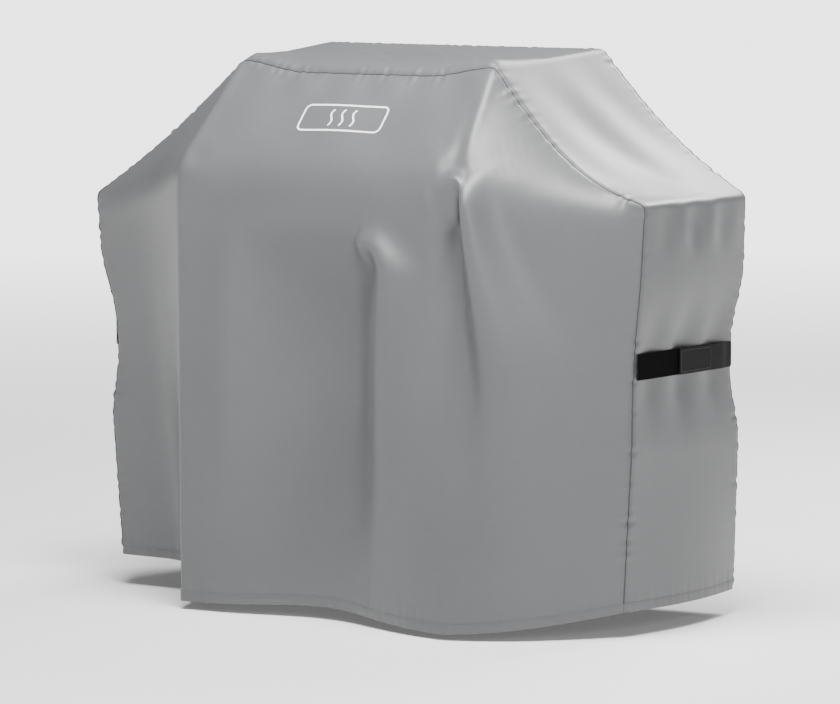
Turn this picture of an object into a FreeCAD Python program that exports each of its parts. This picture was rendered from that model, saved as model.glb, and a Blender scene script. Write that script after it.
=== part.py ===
import FreeCAD, Part
import math
import os

os.makedirs("parts", exist_ok=True)

# A fitted fabric cover for a cart grill, in millimetres: X across the width, the front at -Y, +Z up.
# The cover stands on its hem at z = 0 and is centred in X and Y.  It is sewn from a front panel, a
# back panel and one long strip that makes the left side, the top and the right side.

# ---- driving dimensions: the cover's own size ----
WIDTH = 1295.0            # across the side shelves, where the cover is widest
DEPTH = 600.0             # front hem to back hem
HEIGHT = 1075.0           # hem to the back edge of the top
CLOTH = 2.0               # stand-in for the coated polyester cloth
HEM_HEIGHT = 18.0
HEM_PLIES = 2

# ---- driving dimensions: the grill's shape under the cloth ----
TOP_FRONT_WIDTH = 605.0
TOP_BACK_WIDTH = 660.0
TOP_FALL = 27.0           # the top's front edge is this much lower than its back edge
SHELF_Z = 796.0
HEM_WIDTH = 1214.0
PANEL_WIDTH = 674.0       # control panel that pushes the front panel out
PANEL_Z = 844.0
SLOPE_BREAK_FRONT = (447.0, 890.0)    # half width and height where the sagging slope bends
SLOPE_BREAK_BACK = (503.0, 894.0)

# ---- driving dimensions: where the seams run, in Y ----
TOP_FRONT_Y = -83.0
TOP_BACK_Y = 243.0
SLOPE_FRONT_Y = -92.0
SLOPE_BACK_Y = 260.0      # leans back more than the top tilts, so the lid meets no cloth behind it
SHELF_FRONT_Y = -99.0
SHELF_BACK_Y = 268.0
PANEL_Y = -263.0
HEM_SEAM_FRONT_Y = -104.0

# ---- driving dimensions: the side straps ----
STRAP_Z = 485.0           # middle of the straps
STRAP_HEIGHT = 50.0
CINCH_WIDTH = 1250.0      # the strap pulls the side panel in to here
CINCH_FRONT_Y = -90.0
CINCH_BACK_Y = 255.0
CINCH_BAND = STRAP_HEIGHT + 10.0
WEBBING = 2.0
LOOP_TAPE = 2.0
HOOK_PATCH = 1.5
SLIP = 0.3                # clearance between pieces that move apart
WEBBING_LENGTH = 190.0
TIP_TO_REAR = 45.0        # from the loop tape's free end back to the webbing's hinge line
PATCH_LENGTH = 110.0
PATCH_MARGIN = 2.0
ROOT_SETBACK = 6.0        # from a seam to the strap's hinge line

# ---- driving dimensions: thread and print ----
SEAM_BEAD_R = 1.5
THREAD_WIDTH = 1.2
THREAD_RISE = 0.8
HEM_THREAD_Z = HEM_HEIGHT - 4.0
EMBLEM_WIDTH = 200.0
EMBLEM_HEIGHT = 66.0
EMBLEM_CORNER = 14.0
EMBLEM_LINE = 4.0
EMBLEM_RISE = 0.4
HEAT_LINE_HEIGHT = 40.0
HEAT_LINE_SWING = 4.0
HEAT_LINE_SPACING = 26.0
HEAT_LINE_POINTS = 9

FLATNESS = 1e-6           # points this close to a plane lie in it

FRONT_HEM_Y = -DEPTH / 2
BACK_HEM_Y = DEPTH / 2
FRONT, BACK = "front", "back"
LEFT, RIGHT = -1, 1


# ---------------------------------------------------------------- the cover's outline

def seam_rows():
    """Half width, height and Y of each seam corner, from the hem up to the top."""
    cinch_low = STRAP_Z - CINCH_BAND / 2
    cinch_high = STRAP_Z + CINCH_BAND / 2
    front = {
        "hem": (HEM_WIDTH / 2, HEM_SEAM_FRONT_Y, 0.0),
        "band": (HEM_WIDTH / 2, HEM_SEAM_FRONT_Y, HEM_HEIGHT),
        "cinch_low": (CINCH_WIDTH / 2, CINCH_FRONT_Y, cinch_low),
        "cinch_high": (CINCH_WIDTH / 2, CINCH_FRONT_Y, cinch_high),
        "shelf": (WIDTH / 2, SHELF_FRONT_Y, SHELF_Z),
        "slope": (SLOPE_BREAK_FRONT[0], SLOPE_FRONT_Y, SLOPE_BREAK_FRONT[1]),
        "top": (TOP_FRONT_WIDTH / 2, TOP_FRONT_Y, HEIGHT - TOP_FALL),
    }
    back = {
        "hem": (HEM_WIDTH / 2, BACK_HEM_Y, 0.0),
        "band": (HEM_WIDTH / 2, BACK_HEM_Y, HEM_HEIGHT),
        "cinch_low": (CINCH_WIDTH / 2, CINCH_BACK_Y, cinch_low),
        "cinch_high": (CINCH_WIDTH / 2, CINCH_BACK_Y, cinch_high),
        "shelf": (WIDTH / 2, SHELF_BACK_Y, SHELF_Z),
        "slope": (SLOPE_BREAK_BACK[0], SLOPE_BACK_Y, SLOPE_BREAK_BACK[1]),
        "top": (TOP_BACK_WIDTH / 2, TOP_BACK_Y, HEIGHT),
    }
    return {FRONT: front, BACK: back}


PANEL_ROWS = ("band", "cinch_low", "cinch_high", "shelf", "slope", "top")
ROOF_ROWS = ("shelf", "slope", "top", "panel")
SEAM = seam_rows()
BULGE = {
    "hem": (PANEL_WIDTH / 2, FRONT_HEM_Y, 0.0),
    "band": (PANEL_WIDTH / 2, FRONT_HEM_Y, HEM_HEIGHT),
    "panel": (PANEL_WIDTH / 2, PANEL_Y, PANEL_Z),
}


def corner(side, face, row):
    """A corner of the outer surface as (point, direction into the cloth)."""
    half_width, y, z = SEAM[face][row]
    return place_corner(side, face, row, half_width, y, z)


def bulge(side, row):
    half_width, y, z = BULGE[row]
    return place_corner(side, FRONT, row, half_width, y, z)


def place_corner(side, face, row, half_width, y, z):
    inward_y = 1.0 if face == FRONT else -1.0
    inward_z = -1.0 if row in ROOF_ROWS else 0.0
    point = FreeCAD.Vector(side * half_width, y, z)
    return point, FreeCAD.Vector(-side, inward_y, inward_z)


# ---------------------------------------------------------------- solids from outline polygons

def moved(vertex, depth):
    point, inward = vertex
    return point + inward * depth


def flat_faces(points):
    """One face where the points lie in a plane, otherwise a fan of triangles."""
    normal = (points[1] - points[0]).cross(points[2] - points[0])
    normal.normalize()
    if all(abs((p - points[0]).dot(normal)) < FLATNESS for p in points):
        return [Part.Face(Part.makePolygon(points + [points[0]]))]
    fan = []
    for second, third in zip(points[1:-1], points[2:]):
        fan.append(Part.Face(Part.makePolygon([points[0], second, third, points[0]])))
    return fan


def same_edge(a, b):
    return frozenset((tuple(a[0]), tuple(b[0])))


def sheet_solid(polygons, outer_depth, inner_depth):
    """A closed sheet between two depths below the outer surface, from polygons of corners."""
    uses = {}
    for polygon in polygons:
        for a, b in zip(polygon, polygon[1:] + polygon[:1]):
            uses.setdefault(same_edge(a, b), []).append((a, b))
    faces = []
    for polygon in polygons:
        faces += flat_faces([moved(v, outer_depth) for v in polygon])
        faces += flat_faces([moved(v, inner_depth) for v in polygon])
    for pairs in uses.values():
        if len(pairs) == 1:
            a, b = pairs[0]
            faces += flat_faces([
                moved(a, outer_depth), moved(b, outer_depth), moved(b, inner_depth), moved(a, inner_depth),
            ])
    shell = Part.makeShell(faces)
    shell.sewShape()
    solid = Part.makeSolid(shell)
    if solid.Volume < 0:
        solid.reverse()
    return solid


def export(shape, node):
    if not shape.isValid():
        raise ValueError(node + " is not a valid shape")
    shape.exportStep("parts/" + node + ".step")


# ---------------------------------------------------------------- panels and hems

def front_panel():
    """Upper slope over the control panel, the drop below it, and a wing to each side seam."""
    polygons = [
        [corner(LEFT, FRONT, "top"), corner(RIGHT, FRONT, "top"),
         bulge(RIGHT, "panel"), bulge(LEFT, "panel")],
        [bulge(LEFT, "panel"), bulge(RIGHT, "panel"), bulge(RIGHT, "band"), bulge(LEFT, "band")],
    ]
    for side in (LEFT, RIGHT):
        climb = [bulge(side, "band")]
        climb += [corner(side, FRONT, row) for row in PANEL_ROWS]
        for low, high in zip(climb[:-1], climb[1:]):
            polygons.append([bulge(side, "panel"), low, high])
    return sheet_solid(polygons, 0.0, CLOTH)


def back_panel():
    polygons = []
    for low, high in zip(PANEL_ROWS[:-1], PANEL_ROWS[1:]):
        polygons.append([
            corner(LEFT, BACK, low), corner(RIGHT, BACK, low),
            corner(RIGHT, BACK, high), corner(LEFT, BACK, high),
        ])
    return sheet_solid(polygons, 0.0, CLOTH)


def side_and_top_panel():
    """One strip: up the left side, over the top and down the right side."""
    path = [(LEFT, row) for row in PANEL_ROWS] + [(RIGHT, row) for row in reversed(PANEL_ROWS)]
    polygons = []
    for (side_a, row_a), (side_b, row_b) in zip(path[:-1], path[1:]):
        polygons.append([
            corner(side_a, FRONT, row_a), corner(side_a, BACK, row_a),
            corner(side_b, BACK, row_b), corner(side_b, FRONT, row_b),
        ])
    return sheet_solid(polygons, 0.0, CLOTH)


def hem_band(path):
    """The turned edge below a panel, following a path of (low corner, high corner) pairs."""
    polygons = []
    for (low_a, high_a), (low_b, high_b) in zip(path[:-1], path[1:]):
        polygons.append([low_a, low_b, high_b, high_a])
    return sheet_solid(polygons, 0.0, CLOTH * HEM_PLIES)


def hem_corner(side, face):
    return corner(side, face, "hem"), corner(side, face, "band")


def hem_bulge(side):
    return bulge(side, "hem"), bulge(side, "band")


FRONT_HEM_PATH = [hem_corner(LEFT, FRONT), hem_bulge(LEFT), hem_bulge(RIGHT), hem_corner(RIGHT, FRONT)]
RIGHT_HEM_PATH = [hem_corner(RIGHT, FRONT), hem_corner(RIGHT, BACK)]
BACK_HEM_PATH = [hem_corner(RIGHT, BACK), hem_corner(LEFT, BACK)]
LEFT_HEM_PATH = [hem_corner(LEFT, BACK), hem_corner(LEFT, FRONT)]


# ---------------------------------------------------------------- thread

def seam_stitching(face, cloth):
    """The bead of thread outside one seam, from hem to hem over the top, without crumbs inside it."""
    points = [corner(LEFT, face, row)[0] for row in PANEL_ROWS]
    points += [corner(RIGHT, face, row)[0] for row in reversed(PANEL_ROWS)]
    pieces = []
    for a, b in zip(points[:-1], points[1:]):
        pieces.append(Part.makeCylinder(SEAM_BEAD_R, (b - a).Length, a, b - a))
    for point in points[1:-1]:
        pieces.append(Part.makeSphere(SEAM_BEAD_R, point))
    bead = pieces[0].fuse(pieces[1:]).cut(cloth)
    return max(bead.Solids, key=lambda solid: solid.Volume)


def hem_stitching():
    """One line of thread round the outside of the hem."""
    path = FRONT_HEM_PATH + RIGHT_HEM_PATH[1:] + BACK_HEM_PATH[1:] + LEFT_HEM_PATH[1:]
    polygons = []
    for (low_a, _), (low_b, _) in zip(path[:-1], path[1:]):
        quad = []
        edges = ((low_a, 0.0), (low_b, 0.0), (low_b, THREAD_WIDTH), (low_a, THREAD_WIDTH))
        for (point, inward), rise in edges:
            lifted = FreeCAD.Vector(point.x, point.y, HEM_THREAD_Z + rise)
            quad.append((lifted, inward))
        polygons.append(quad)
    return sheet_solid(polygons, -THREAD_RISE, 0.0)


# ---------------------------------------------------------------- side straps

STRAP_LOW_Z = STRAP_Z - STRAP_HEIGHT / 2
TAPE_X = CINCH_WIDTH / 2 + SLIP                       # inner face of the loop tape
PATCH_X = TAPE_X + LOOP_TAPE + SLIP                   # inner face of the hook patch
WEBBING_X = PATCH_X + HOOK_PATCH                      # inner face of the webbing over the patch
FRONT_HINGE_Y = CINCH_FRONT_Y + ROOT_SETBACK
REAR_HINGE_Y = CINCH_BACK_Y - ROOT_SETBACK
WEBBING_TIP_Y = REAR_HINGE_Y - WEBBING_LENGTH
PATCH_FRONT_Y = WEBBING_TIP_Y + PATCH_MARGIN


def side_box(x, thickness, y_front, y_rear, margin=0.0):
    """A box lying on the right side panel, as tall as the strap less a margin at each edge."""
    corner_point = FreeCAD.Vector(x, y_front, STRAP_LOW_Z + margin)
    return Part.makeBox(thickness, y_rear - y_front, STRAP_HEIGHT - 2 * margin, corner_point)


def loop_tape():
    return side_box(TAPE_X, LOOP_TAPE, FRONT_HINGE_Y, REAR_HINGE_Y - TIP_TO_REAR)


def webbing():
    """Webbing that steps out from the side panel to lie over the loop tape and the hook patch."""
    step_start = REAR_HINGE_Y - TIP_TO_REAR / 4
    step_end = REAR_HINGE_Y - TIP_TO_REAR * 3 / 4
    inner = [(TAPE_X, REAR_HINGE_Y), (TAPE_X, step_start), (WEBBING_X, step_end), (WEBBING_X, WEBBING_TIP_Y)]
    outer = [(x + WEBBING, y) for x, y in reversed(inner)]
    points = [FreeCAD.Vector(x, y, STRAP_LOW_Z) for x, y in inner + outer]
    face = Part.Face(Part.makePolygon(points + [points[0]]))
    return face.extrude(FreeCAD.Vector(0, 0, STRAP_HEIGHT))


def hook_patch():
    return side_box(PATCH_X, HOOK_PATCH, PATCH_FRONT_Y, PATCH_FRONT_Y + PATCH_LENGTH, PATCH_MARGIN)


def patch_stitching():
    """A rectangle of thread on the webbing, just inside the hook patch's edge."""
    x = WEBBING_X + WEBBING
    inset = 2 * PATCH_MARGIN
    y_front = PATCH_FRONT_Y + PATCH_MARGIN
    y_rear = PATCH_FRONT_Y + PATCH_LENGTH - PATCH_MARGIN
    outer = side_box(x, THREAD_RISE, y_front, y_rear, inset)
    inner = side_box(x, THREAD_RISE, y_front + THREAD_WIDTH, y_rear - THREAD_WIDTH, inset + THREAD_WIDTH)
    return outer.cut(inner)


def front_bar_tack():
    seam_edge = CINCH_FRONT_Y + SEAM_BEAD_R + SLIP
    return side_box(CINCH_WIDTH / 2, LOOP_TAPE, seam_edge, FRONT_HINGE_Y - SLIP)


def rear_bar_tack():
    seam_edge = CINCH_BACK_Y - SEAM_BEAD_R - SLIP
    return side_box(CINCH_WIDTH / 2, WEBBING, REAR_HINGE_Y + SLIP, seam_edge)


def mirrored(shape):
    return shape.mirror(FreeCAD.Vector(0, 0, 0), FreeCAD.Vector(1, 0, 0))


# ---------------------------------------------------------------- printed emblem

def rounded_rectangle(width, height, radius):
    """A flat rounded rectangle centred on the origin."""
    w, h, r = width / 2, height / 2, radius
    bend = r * (1 - math.sqrt(0.5))
    edges = []
    for sx, sy in ((1, 1), (-1, 1), (-1, -1), (1, -1)):
        side_end = FreeCAD.Vector(sx * w, sy * (h - r), 0)
        middle = FreeCAD.Vector(sx * (w - bend), sy * (h - bend), 0)
        top_end = FreeCAD.Vector(sx * (w - r), sy * h, 0)
        edges.append(Part.Arc(side_end, middle, top_end).toShape())
    edges.append(Part.makeLine((w, r - h, 0), (w, h - r, 0)))
    edges.append(Part.makeLine((-w, r - h, 0), (-w, h - r, 0)))
    edges.append(Part.makeLine((r - w, h, 0), (w - r, h, 0)))
    edges.append(Part.makeLine((r - w, -h, 0), (w - r, -h, 0)))
    return Part.Face(Part.Wire(Part.__sortEdges__(edges)))


def heat_line(x_middle):
    """A short wavy upright line."""
    sides = []
    for offset in (-EMBLEM_LINE / 2, EMBLEM_LINE / 2):
        points = []
        for i in range(HEAT_LINE_POINTS):
            along = i / (HEAT_LINE_POINTS - 1)
            x = x_middle + offset + HEAT_LINE_SWING * math.sin(2 * math.pi * along)
            points.append(FreeCAD.Vector(x, HEAT_LINE_HEIGHT * (along - 0.5), 0))
        curve = Part.BSplineCurve()
        curve.interpolate(points)
        sides.append((curve.toShape(), points))
    (left_edge, left_points), (right_edge, right_points) = sides
    foot = Part.makeLine(left_points[0], right_points[0])
    head = Part.makeLine(left_points[-1], right_points[-1])
    return Part.Face(Part.Wire(Part.__sortEdges__([left_edge, head, right_edge, foot])))


def printed_emblem():
    """A plain frame with three heat lines, printed in the middle of the front slope."""
    frame = rounded_rectangle(EMBLEM_WIDTH, EMBLEM_HEIGHT, EMBLEM_CORNER).cut(
        rounded_rectangle(
            EMBLEM_WIDTH - 2 * EMBLEM_LINE, EMBLEM_HEIGHT - 2 * EMBLEM_LINE, EMBLEM_CORNER - EMBLEM_LINE))
    rise = FreeCAD.Vector(0, 0, EMBLEM_RISE)
    pieces = [frame.extrude(rise)]
    for step in (-1, 0, 1):
        pieces.append(heat_line(step * HEAT_LINE_SPACING).extrude(rise))
    mark = Part.makeCompound(pieces)
    slope_top = corner(RIGHT, FRONT, "top")[0]
    slope_foot = bulge(RIGHT, "panel")[0]
    lean = math.degrees(math.atan2(slope_top.z - slope_foot.z, slope_top.y - slope_foot.y))
    mark.rotate(FreeCAD.Vector(0, 0, 0), FreeCAD.Vector(1, 0, 0), lean)
    mark.translate(FreeCAD.Vector(0, (slope_top.y + slope_foot.y) / 2, (slope_top.z + slope_foot.z) / 2))
    return mark


# ---------------------------------------------------------------- build and export

def main():
    panels = {
        "front_panel": front_panel(),
        "back_panel": back_panel(),
        "side_and_top_panel": side_and_top_panel(),
        "front_hem": hem_band(FRONT_HEM_PATH),
        "right_hem": hem_band(RIGHT_HEM_PATH),
        "back_hem": hem_band(BACK_HEM_PATH),
        "left_hem": hem_band(LEFT_HEM_PATH),
    }
    for node, shape in panels.items():
        export(shape, node)
    cloth = list(panels.values())
    export(seam_stitching(FRONT, cloth), "front_seam_stitching")
    export(seam_stitching(BACK, cloth), "back_seam_stitching")
    export(hem_stitching(), "hem_stitching")
    export(printed_emblem(), "printed_emblem")
    strap_pieces = {
        "loop_tape": loop_tape(),
        "strap_webbing": webbing(),
        "hook_patch": hook_patch(),
        "patch_stitching": patch_stitching(),
        "front_bar_tack": front_bar_tack(),
        "rear_bar_tack": rear_bar_tack(),
    }
    for piece, shape in strap_pieces.items():
        export(shape, "right_" + piece)
        export(mirrored(shape), "left_" + piece)


main()
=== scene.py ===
import math

import bmesh
import bpy
import numpy as np
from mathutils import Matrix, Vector
from mathutils.bvhtree import BVHTree
from mathutils.kdtree import KDTree


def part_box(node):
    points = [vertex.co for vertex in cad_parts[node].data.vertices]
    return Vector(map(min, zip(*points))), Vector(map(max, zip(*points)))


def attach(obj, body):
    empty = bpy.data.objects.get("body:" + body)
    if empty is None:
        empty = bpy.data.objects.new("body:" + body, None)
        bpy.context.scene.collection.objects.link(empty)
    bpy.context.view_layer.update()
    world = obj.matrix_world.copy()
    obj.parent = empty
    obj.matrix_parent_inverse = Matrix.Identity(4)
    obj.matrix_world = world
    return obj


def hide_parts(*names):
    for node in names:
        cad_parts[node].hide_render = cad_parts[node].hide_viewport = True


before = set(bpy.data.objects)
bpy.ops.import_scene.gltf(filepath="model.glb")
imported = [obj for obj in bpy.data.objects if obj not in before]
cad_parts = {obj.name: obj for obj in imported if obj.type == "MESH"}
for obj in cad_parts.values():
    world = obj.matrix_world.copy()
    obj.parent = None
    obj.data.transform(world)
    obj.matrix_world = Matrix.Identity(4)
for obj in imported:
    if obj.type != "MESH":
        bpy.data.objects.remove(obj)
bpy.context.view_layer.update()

# A fitted cloth cover over a cart grill, in metres.  The cover is laid out as it is worn, gravity
# settles it over the shapes of a grill, and then the grill is taken away.

# ---- sizes from the frame

LEFT, RIGHT = -1, 1
SIDE_NAME = {LEFT: "left", RIGHT: "right"}


def node_box(node):
    low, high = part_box(node)
    return Vector(low), Vector(high)


TOP_LOW, TOP_HIGH = node_box("side_and_top_panel")
HEM_LOW, HEM_HIGH = node_box("front_hem")
TAPE_LOW, TAPE_HIGH = node_box("right_loop_tape")
WEB_LOW, WEB_HIGH = node_box("right_strap_webbing")
PATCH_LOW, PATCH_HIGH = node_box("right_hook_patch")
MARK_LOW, MARK_HIGH = node_box("printed_emblem")
FRONT_TACK_LOW, FRONT_TACK_HIGH = node_box("right_front_bar_tack")
REAR_TACK_LOW, REAR_TACK_HIGH = node_box("right_rear_bar_tack")

HEM_HEIGHT = HEM_HIGH.z - HEM_LOW.z
TOP_Z = TOP_HIGH.z
STRAP_Z = (TAPE_LOW.z + TAPE_HIGH.z) / 2
STRAP_GAP = 0.0008  # from the cloth to the strap over it
SEAM_GAP = 0.0018  # from a strap's root stitches to the seam
CINCH_X = TAPE_LOW.x - STRAP_GAP
CINCH_FRONT_Y = FRONT_TACK_LOW.y - SEAM_GAP
CINCH_REAR_Y = REAR_TACK_HIGH.y + SEAM_GAP

# ---- the cover as it is sewn and worn

CELL = 0.0165  # of the coarse cloth mesh
WING_COLUMNS = 25  # columns of each side wing of the front and back panels
MIDDLE_COLUMNS = 37  # columns between the lid's corners
COLUMNS = MIDDLE_COLUMNS + 2 * WING_COLUMNS
COLUMN_STEPS = 240  # points of a column while its turns are rounded
ROWS = round(0.78 / CELL)  # up the side seam, the first one being the hem
PLIES = round(0.36 / CELL)  # across the side-and-top strip
FRONT, BACK, STRIP, FRONT_HEM, BACK_HEM, LEFT_HEM, RIGHT_HEM = range(7)
PART_NAMES = {
    FRONT: "front_panel", BACK: "back_panel", STRIP: "side_and_top_panel", FRONT_HEM: "front_hem",
    BACK_HEM: "back_hem", LEFT_HEM: "left_hem", RIGHT_HEM: "right_hem",
}

LID_HALF_FRONT = 0.303  # half width of the flat top along its front seam
LID_HALF_BACK = 0.335
LID_FRONT_Y = -0.085
LID_BACK_Y = 0.243
LID_FALL = 0.030  # the top is this much lower at the front
LID_SEAM_SAG = 0.020  # the front seam drops over the lid's edge between its corners
SHELF_Z = 0.794  # where the cloth turns down over the side shelves
SHELF_SPREAD = {LEFT: 0.022, RIGHT: 0.004}  # how far the cloth stands out past the CAD's width there
SHELF_DROP = {LEFT: 0.026, RIGHT: 0.0}
PANEL_X = 0.331  # half width of the grill's control panel
PANEL_Y = -0.262  # its front edge, as the cloth wraps it
PANEL_Z = 0.843
FRONT_SAG = {LEFT: 0.015, RIGHT: 0.050}  # sag of the sloping seams from lid to shelf
BACK_SAG = {LEFT: 0.026, RIGHT: 0.026}
HEM_LIFT = {LEFT: 0.034, RIGHT: 0.018}  # the hem's height at the side seams
FOLD_X, FOLD_Y, FOLD_Z = -0.308, -0.290, -0.014  # lower end of the left fold
LOBE_X, LOBE_Y = 0.335, -0.324  # the hem's furthest point in front
TUCK = 0.162  # width of the flank behind the left fold
STRAP_HALF, STRAP_REACH = 0.028, 0.175  # the strap's pull on the seams fades out over this height
FRONT_SEAM_Y = (CINCH_FRONT_Y + TOP_LOW.y) / 2
SHELF_BACK_Y = CINCH_REAR_Y + 0.013
HEM_BACK_Y = TOP_HIGH.y
HOLLOW_DEPTH, HOLLOW = 0.070, (0.01, 0.18)  # the hem falls back in the middle
WING_BELLY = 0.042  # and bows out on the right wing
BACK_WAVE = 0.008  # soft waves low on the back
BACK_HEM_WAVE, BACK_HEM_SAG = 0.012, 0.012
BROW_HOLLOW, BROW_SAG = 0.020, 0.007  # of the line where the front turns down, left wing and middle
BROW_PASSES, BROW_EXTRA = 50, 260  # smoothing of that turn at the panel's corners, and away from them

# Folds of the skirt.  A pair is the stretch over which a fold comes or goes, or its place and width.
RECESS_DEPTH = 0.054  # the hollow left of the cone
RECESS_LEFT, RECESS_RIGHT = (-0.25, -0.02), (0.06, 0.17)
RECESS_TOP, RECESS_FOOT = (0.600, 0.755), (0.0, 0.42)
CONE_OUT = 0.034  # the cone that hangs from a knob
CONE_X, CONE_Z = 0.125, 0.740
CONE_LEAN, CONE_LEANS = 0.060, (0.0, 0.085)
CONE_RETURN, CONE_RETURNS = 0.025, (0.35, 0.74)
CONE_LEFT, CONE_RIGHT = 0.034, 0.075  # half widths
CONE_TIP, CONE_GROWTH, CONE_GROWS = 0.6, 0.8, (0.0, 0.3)
CONE_TOP, CONE_FOOT = (0.700, 0.752), (0.0, 0.60)
LEFT_OUT, LEFT_RIDGE = 0.012, (-0.205, 0.040)
LEFT_TOP, LEFT_FOOT = (0.62, 0.76), (0.1, 0.4)
VALLEY_DEPTH = 0.050  # the crease below the control panel's right corner
VALLEY_X, VALLEY_LEAN = 0.320, 0.025
VALLEY_WIDTH, VALLEY_SPREAD, VALLEY_OPENS = 0.013, 0.045, (0.0, 0.45)
VALLEY_TOP, VALLEY_FOOT = (PANEL_Z - 0.045, PANEL_Z + 0.003), (0.05, 0.5)
RIDGE_OUT = 0.036  # the ridge on the crease's right
RIDGE_X, RIDGE_LEAN = 0.352, 0.20
RIDGE_WIDTH, RIDGE_SPREAD, FOLDS_OPEN = 0.022, 0.075, (0.0, 0.5)
RIDGE_TOP, RIDGE_FOOT = (PANEL_Z - 0.06, PANEL_Z + 0.02), (0.1, 0.6)

# Small waves of the front slope: radians for each metre, and phase.
GATHER_HEIGHT, GATHER_TOP = 0.0045, (0.955, 1.035)
GATHER_WAVES = ((44.0, 1.3), (17.0, 0.4))
FAN_HEIGHT, FAN = 0.0022, (0.93, 0.055)
FAN_ACROSS, FAN_UP = 30.0, 12.0
FAN_LEFT, FAN_RIGHT = (-0.36, -0.15), (0.15, 0.42)

# The side-and-top strip.
SHELF_TURN_Z = 0.80  # between the sides and the slopes
SIDE_X, SLOPE_X, TOP_X = 0.50, 0.32, 0.30
SKIRT_BULGE, SKIRT_BULGE_TOP = 0.022, (0.0, 0.42)
UPPER_BULGE, UPPER_PLACE = 0.012, (0.68, 0.10)
STRAP_GATHERS, GATHER_PULL, GATHER_WIDTH = 3.0, 0.011, 0.085
TENSION_WAVE, TENSION_WAVES, TENSION_SLANT, TENSION_PHASE = 0.0038, 2.3, 0.7, 0.8
PINCH_OUT, PINCH, PINCHES, PINCH_PHASE = 0.0060, (0.745, 0.040), 3.5, 0.5
TOP_RISE = 0.016  # the top is fuller just behind the front seam


def lengths_along(points):
    """How far along a polyline each of its points lies."""
    steps = np.linalg.norm(np.diff(points, axis=0), axis=1)
    return np.concatenate(([0.0], np.cumsum(steps)))


def at_lengths(wanted, reached, values):
    """Values between the points of a polyline, at the wanted lengths."""
    return np.stack([np.interp(wanted, reached, values[:, k]) for k in range(values.shape[1])], axis=1)


def unit(vectors):
    return vectors / np.maximum(np.linalg.norm(vectors, axis=1, keepdims=True), 1e-12)


def resample(points, count):
    """Evenly spaced points along a polyline."""
    points = np.array(points, float)
    reached = lengths_along(points)
    return at_lengths(np.linspace(0.0, reached[-1], count), reached, points)


def soften(line, passes):
    """Rounds the corners of an evenly spaced line and keeps its two ends."""
    line = line.copy()
    for _ in range(passes):
        line[1:-1] = (line[:-2] + 2.0 * line[1:-1] + line[2:]) / 4.0
    return line


def curve(points, count, passes):
    return soften(resample(points, count + 1), passes)


def across(left, middle, right, passes=3):
    """A line over the whole panel whose three lengths start at fixed columns."""
    parts = [curve(left, WING_COLUMNS, passes), curve(middle, MIDDLE_COLUMNS, passes)[1:],
             curve(right, WING_COLUMNS, passes)[1:]]
    return np.concatenate(parts)


def ease(low, high, value):
    """0 below low, 1 above high and a smooth step in between."""
    share = np.clip((value - low) / (high - low), 0.0, 1.0)
    return share * share * (3.0 - 2.0 * share)


def fade(low, high, value):
    return 1.0 - ease(low, high, value)


def hill(centre, width, value):
    return np.exp(-((value - centre) / width) ** 2)


def up_the_column(line, passes):
    """Row points of one column: the hem first, then even steps, with rounded turns."""
    fine = soften(resample(line, COLUMN_STEPS), passes)
    reached = lengths_along(fine)
    wanted = np.concatenate(([0.0], np.linspace(HEM_HEIGHT, reached[-1], ROWS)))
    return at_lengths(wanted, reached, fine)


def skirt_folds(x, z):
    """How far the front hangs in (+) or out (-) of the straight fall, by place."""
    below = PANEL_Z - z
    under_tip = CONE_Z - z
    recess = ease(*RECESS_LEFT, x) * fade(*RECESS_RIGHT, x) * fade(*RECESS_TOP, z)
    recess *= ease(*RECESS_FOOT, z)
    cone_x = CONE_X + CONE_LEAN * ease(*CONE_LEANS, under_tip)
    cone_x = cone_x - CONE_RETURN * ease(*CONE_RETURNS, under_tip)
    cone_width = np.where(x < cone_x, CONE_LEFT, CONE_RIGHT)
    cone_width = cone_width * (CONE_TIP + CONE_GROWTH * ease(*CONE_GROWS, under_tip))
    cone = hill(cone_x, cone_width, x) * fade(*CONE_TOP, z) * ease(*CONE_FOOT, z)
    left_ridge = hill(*LEFT_RIDGE, x) * ease(*LEFT_FOOT, z) * fade(*LEFT_TOP, z)
    valley_x = VALLEY_X + VALLEY_LEAN * ease(*FOLDS_OPEN, below)
    valley_width = VALLEY_WIDTH + VALLEY_SPREAD * ease(*VALLEY_OPENS, below)
    valley = hill(valley_x, valley_width, x) * ease(*VALLEY_FOOT, z) * fade(*VALLEY_TOP, z)
    ridge_width = RIDGE_WIDTH + RIDGE_SPREAD * ease(*FOLDS_OPEN, below)
    ridge = hill(RIDGE_X + RIDGE_LEAN * below, ridge_width, x) * ease(*RIDGE_FOOT, z) * fade(*RIDGE_TOP, z)
    inward = RECESS_DEPTH * recess - CONE_OUT * cone - LEFT_OUT * left_ridge
    return inward + VALLEY_DEPTH * valley - RIDGE_OUT * ridge


def slope_folds(x, z):
    """Soft gathers of the front slope under the lid seam and over the control panel."""
    under_seam = ease(*GATHER_TOP, z)
    for rate, phase in GATHER_WAVES:
        under_seam = under_seam * np.sin(rate * x + phase)
    fan = hill(*FAN, z) * np.sin(FAN_ACROSS * x + FAN_UP * z)
    fan = fan * ease(*FAN_LEFT, x) * fade(*FAN_RIGHT, x)
    return GATHER_HEIGHT * under_seam + FAN_HEIGHT * fan


def between(start, end, steps=60):
    """A straight line as points, with the share of the way along it for each."""
    share = np.linspace(0.0, 1.0, steps + 1)
    return np.array(start) + share[:, None] * (np.array(end) - np.array(start)), share


def shelf_corner(side, back):
    spread = SHELF_SPREAD[side] * (0.5 if back else 1.0)
    return (side * (TOP_HIGH.x + spread), SHELF_BACK_Y if back else FRONT_SEAM_Y, SHELF_Z - SHELF_DROP[side])


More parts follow.
